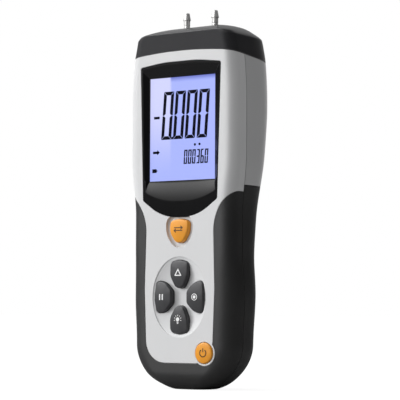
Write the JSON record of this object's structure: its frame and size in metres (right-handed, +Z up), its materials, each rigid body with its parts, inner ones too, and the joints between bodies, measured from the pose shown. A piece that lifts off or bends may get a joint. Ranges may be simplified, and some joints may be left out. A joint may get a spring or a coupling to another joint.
{
  "type": "digital manometer",
  "caption": "Handheld differential pressure meter with a tall backlit display, press keys, two barbed hose ports on top, a soft grip and a tilt stand.",
  "frame": {"origin": "middle of the lower end, at the bottom of the bounding box", "axes": "+Z up along the meter, towards the hose ports; -Y out of the face with the display; +X to the right of someone who looks at the face"},
  "size_m": [0.0754, 0.0514, 0.2184],
  "materials": {
    "silver_shell": "silver paint, satin",
    "grey_shell": "silver-grey paint, satin",
    "soft_grip": "matt soft moulding",
    "dark_cap": "fine grained",
    "dark_bezel": "satin",
    "clear_lens": "clear",
    "lcd": "lit from behind",
    "white_plastic": "plain",
    "elastomer": "plain",
    "circuit_board": "solder mask",
    "components": "plain",
    "key_mat": "plain",
    "orange_key": "satin",
    "dark_key": "smooth",
    "nickel": "turned",
    "cream_plastic": "plain",
    "steel": "plated",
    "silicone": "clear silicone",
    "battery_jacket": "plain",
    "black_plastic": "plain",
    "foam": "foam",
    "door_plastic": "silver-grey paint, satin",
    "stand_plastic": "fine grained",
    "brass": "turned"
  },
  "bodies": {
    "housing": {"front_case": "silver_shell", "rear_case": "grey_shell", "front_grip": "soft_grip", "rear_grip": "soft_grip", "top_cap": "dark_cap", "display_bezel": "dark_bezel", "display_lens": "clear_lens", "lcd_glass": "lcd", "backlight_panel": "white_plastic", "lcd_frame": "white_plastic", "elastomer_strips": "elastomer", "main_board": "circuit_board", "board_components": "components", "keypad_mat": "key_mat", "pressure_sensor": "components", "left_port": "nickel", "right_port": "nickel", "port_seals": "key_mat", "port_block": "cream_plastic", "port_screws": "steel", "left_tube": "silicone", "right_tube": "silicone", "beeper": "components", "battery": "battery_jacket", "battery_snap": "black_plastic", "battery_leads": "black_plastic", "tripod_insert": "brass", "case_screws": "steel", "board_screws": "steel"},
    "units_key_cap": {"units_key": "orange_key"},
    "difference_key_cap": {"difference_key": "dark_key"},
    "hold_key_cap": {"hold_key": "dark_key"},
    "record_key_cap": {"record_key": "dark_key"},
    "backlight_key_cap": {"backlight_key": "dark_key"},
    "power_key_cap": {"power_key": "orange_key"},
    "door": {"battery_door": "door_plastic", "door_screw": "steel", "battery_pad": "foam"},
    "stand": {"tilt_stand": "stand_plastic"}
  },
  "joints": [
    {"name": "units_key_press", "type": "slide", "parent": "housing", "child": "units_key_cap", "axis": [0, 1, 0], "range_m": [0, 0.0008], "stiffness_N_per_m": 2500},
    {"name": "difference_key_press", "type": "slide", "parent": "housing", "child": "difference_key_cap", "axis": [0, 1, 0], "range_m": [0, 0.0008], "stiffness_N_per_m": 2500},
    {"name": "hold_key_press", "type": "slide", "parent": "housing", "child": "hold_key_cap", "axis": [0, 1, 0], "range_m": [0, 0.0008], "stiffness_N_per_m": 2500},
    {"name": "record_key_press", "type": "slide", "parent": "housing", "child": "record_key_cap", "axis": [0, 1, 0], "range_m": [0, 0.0008], "stiffness_N_per_m": 2500},
    {"name": "backlight_key_press", "type": "slide", "parent": "housing", "child": "backlight_key_cap", "axis": [0, 1, 0], "range_m": [0, 0.0008], "stiffness_N_per_m": 2500},
    {"name": "power_key_press", "type": "slide", "parent": "housing", "child": "power_key_cap", "axis": [0, 1, 0], "range_m": [0, 0.0008], "stiffness_N_per_m": 2500},
    {"name": "stand_swing", "type": "hinge", "parent": "housing", "child": "stand", "pos_m": [0, 0.01538, 0.12096], "axis": [1, 0, 0], "range_deg": [0, 50]},
    {"name": "door_lift_off", "type": "slide", "parent": "housing", "child": "door", "axis": [0, 1, 0], "range_m": [0, 0.025]}
  ]
}
